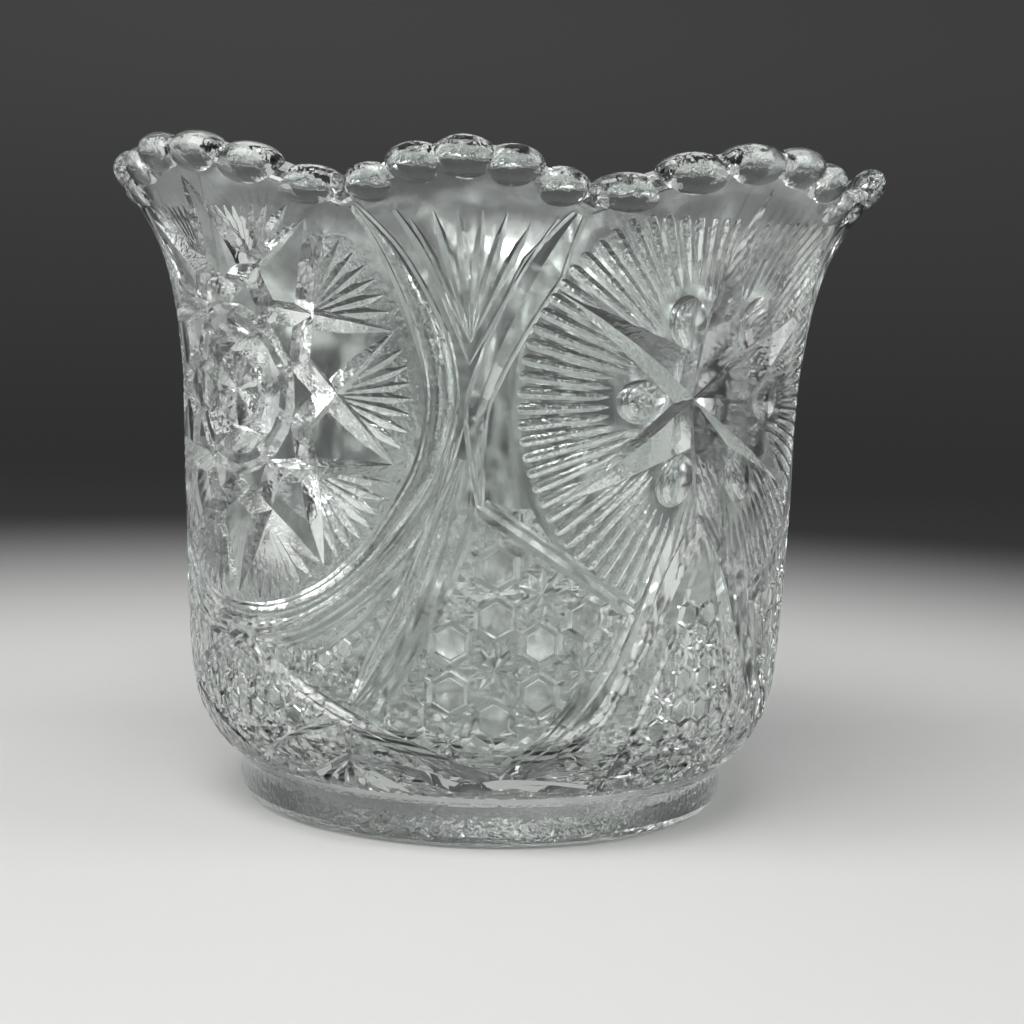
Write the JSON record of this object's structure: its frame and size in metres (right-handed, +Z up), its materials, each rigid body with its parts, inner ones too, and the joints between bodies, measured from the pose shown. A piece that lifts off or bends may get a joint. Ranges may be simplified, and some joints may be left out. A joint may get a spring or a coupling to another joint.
{
  "type": "spoon holder",
  "caption": "Round tumbler-shaped spoon holder of thick pressed clear glass, with a flared beaded scalloped mouth, a cut-style star and fan pattern, and a short plain foot.",
  "frame": {"origin": "middle of the foot's contact ring, on the surface it stands on", "axes": "+Z up along the axis of the wall; -Y faces the viewer of the picture, +X to the viewer's right"},
  "size_m": [0.1196, 0.1196, 0.1001],
  "materials": {
    "clear_glass": "fire-polished pressed glass, very faint grey-green tint"
  },
  "bodies": {
    "root": {"glass_spoon_holder": "clear_glass"}
  },
  "joints": []
}
